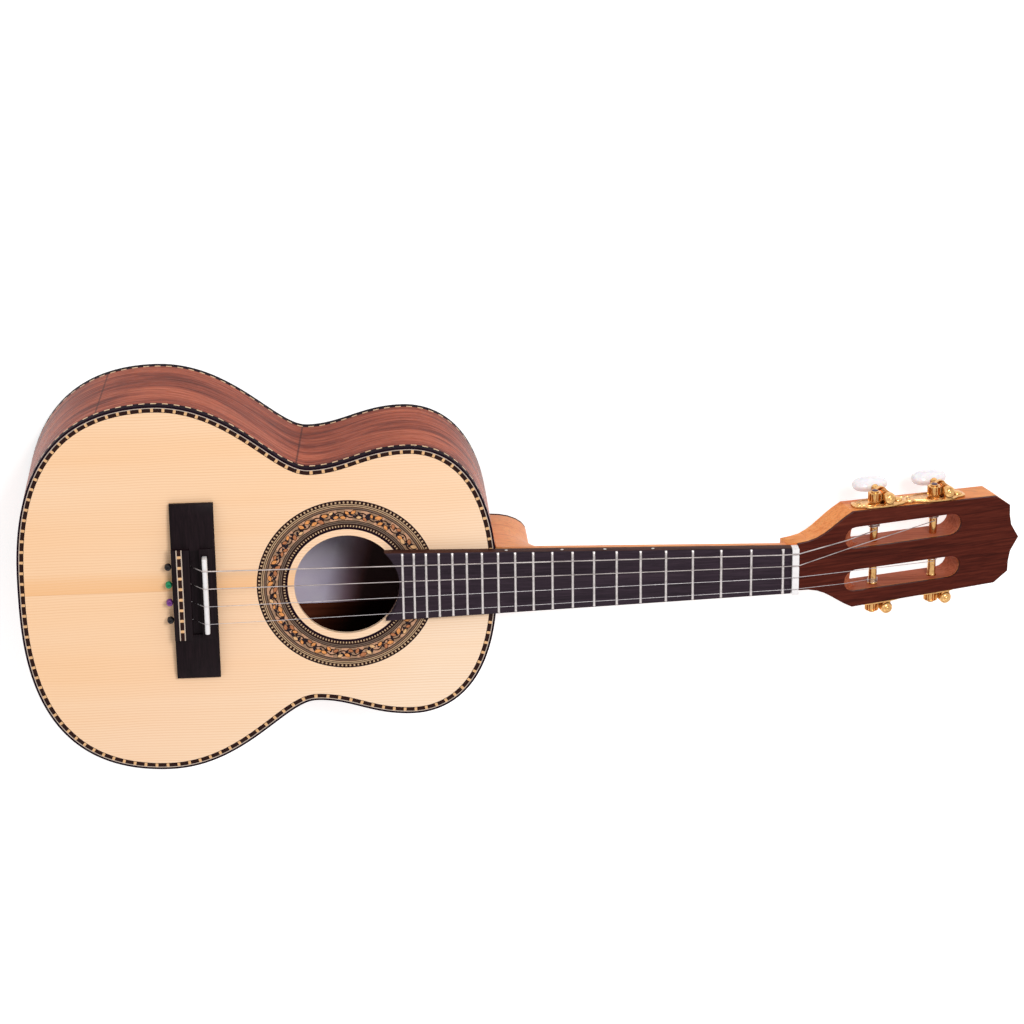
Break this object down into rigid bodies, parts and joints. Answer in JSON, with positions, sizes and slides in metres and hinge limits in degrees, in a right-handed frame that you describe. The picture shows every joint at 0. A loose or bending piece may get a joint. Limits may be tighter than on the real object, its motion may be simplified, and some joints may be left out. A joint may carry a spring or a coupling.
{
  "type": "cavaquinho",
  "caption": "Small lute-like guitar with a waisted hollow body, round sound hole, fretted neck, slotted head and open geared tuners.",
  "frame": {"origin": "on the outside of the flat back, under the point where the scale length ends at the bridge", "axes": "+X along the neck towards the head, +Y across towards the bass strings' side, +Z out of the soundboard"},
  "size_m": [0.6046, 0.2308, 0.0938],
  "materials": {
    "spruce": "glossy varnish over fine straight grain",
    "rosewood": "glossy varnish over streaked reddish brown wood",
    "cedar": "satin varnish over orange-brown wood",
    "ebony": "satin, nearly black",
    "pale_wood": "bare pale wood",
    "black_plastic": "glossy black",
    "marquetry": "inlaid veneers in black, tan and orange under varnish",
    "paper": "matte pale paper",
    "bone": "polished white",
    "steel": "bright drawn wire",
    "gold": "bright gold-coloured plating",
    "pearl": "white pearl"
  },
  "bodies": {
    "body_and_neck": {"soundboard": "spruce", "back": "rosewood", "side_bass": "rosewood", "side_treble": "rosewood", "end_graft": "ebony", "neck_block": "cedar", "tail_block": "cedar", "top_lining_bass": "pale_wood", "top_lining_treble": "pale_wood", "back_lining_bass": "pale_wood", "back_lining_treble": "pale_wood", "upper_top_brace": "pale_wood", "lower_top_brace": "pale_wood", "fan_brace_bass": "pale_wood", "fan_brace_centre": "pale_wood", "fan_brace_treble": "pale_wood", "upper_back_brace": "pale_wood", "middle_back_brace": "pale_wood", "lower_back_brace": "pale_wood", "bridge_plate": "pale_wood", "top_binding": "black_plastic", "back_binding": "black_plastic", "top_purfling": "pale_wood", "rosette": "marquetry", "label": "paper", "neck": "cedar", "heel_cap": "ebony", "fingerboard": "ebony", "zero_fret": "steel", "nut": "bone", "headplate": "rosewood", "bridge": "ebony", "bridge_inlay": "pale_wood", "saddle": "bone", "tuner_plate_bass": "gold", "tuner_plate_treble": "gold", "string_4": "steel", "string_3": "steel", "string_2": "steel", "string_1": "steel"},
    "button_shaft_4": {"worm_4": "gold", "button_4": "pearl"},
    "post_and_gear_4": {"tuning_post_4": "gold", "gear_4": "gold", "winding_4": "steel"},
    "button_shaft_3": {"worm_3": "gold", "button_3": "pearl"},
    "post_and_gear_3": {"tuning_post_3": "gold", "gear_3": "gold", "winding_3": "steel"},
    "button_shaft_2": {"worm_2": "gold", "button_2": "pearl"},
    "post_and_gear_2": {"tuning_post_2": "gold", "gear_2": "gold", "winding_2": "steel"},
    "button_shaft_1": {"worm_1": "gold", "button_1": "pearl"},
    "post_and_gear_1": {"tuning_post_1": "gold", "gear_1": "gold", "winding_1": "steel"}
  },
  "joints": [
    {"name": "button_turn_4", "type": "hinge", "parent": "body_and_neck", "child": "button_shaft_4", "pos_m": [0.40569, 0.03536, 0.05435], "axis": [0.2605, 0, 0.9655], "continuous": true},
    {"name": "post_turn_4", "type": "hinge", "parent": "body_and_neck", "child": "post_and_gear_4", "pos_m": [0.39923, 0.0137, 0.05609], "axis": [0, 1, 0], "continuous": true},
    {"name": "button_turn_3", "type": "hinge", "parent": "body_and_neck", "child": "button_shaft_3", "pos_m": [0.44383, 0.03436, 0.04406], "axis": [0.2605, 0, 0.9655], "continuous": true},
    {"name": "post_turn_3", "type": "hinge", "parent": "body_and_neck", "child": "post_and_gear_3", "pos_m": [0.43737, 0.0137, 0.0458], "axis": [0, 1, 0], "continuous": true},
    {"name": "button_turn_2", "type": "hinge", "parent": "body_and_neck", "child": "button_shaft_2", "pos_m": [0.44383, -0.03436, 0.04406], "axis": [0.2605, 0, 0.9655], "continuous": true},
    {"name": "post_turn_2", "type": "hinge", "parent": "body_and_neck", "child": "post_and_gear_2", "pos_m": [0.43737, -0.0137, 0.0458], "axis": [0, 1, 0], "continuous": true},
    {"name": "button_turn_1", "type": "hinge", "parent": "body_and_neck", "child": "button_shaft_1", "pos_m": [0.40569, -0.03536, 0.05435], "axis": [0.2605, 0, 0.9655], "continuous": true},
    {"name": "post_turn_1", "type": "hinge", "parent": "body_and_neck", "child": "post_and_gear_1", "pos_m": [0.39923, -0.0137, 0.05609], "axis": [0, 1, 0], "continuous": true}
  ],
  "couplings": [
    {"joint": "post_turn_4", "follows": "button_turn_4", "ratio": 0.071429},
    {"joint": "post_turn_3", "follows": "button_turn_3", "ratio": 0.071429},
    {"joint": "post_turn_2", "follows": "button_turn_2", "ratio": 0.071429},
    {"joint": "post_turn_1", "follows": "button_turn_1", "ratio": 0.071429}
  ]
}
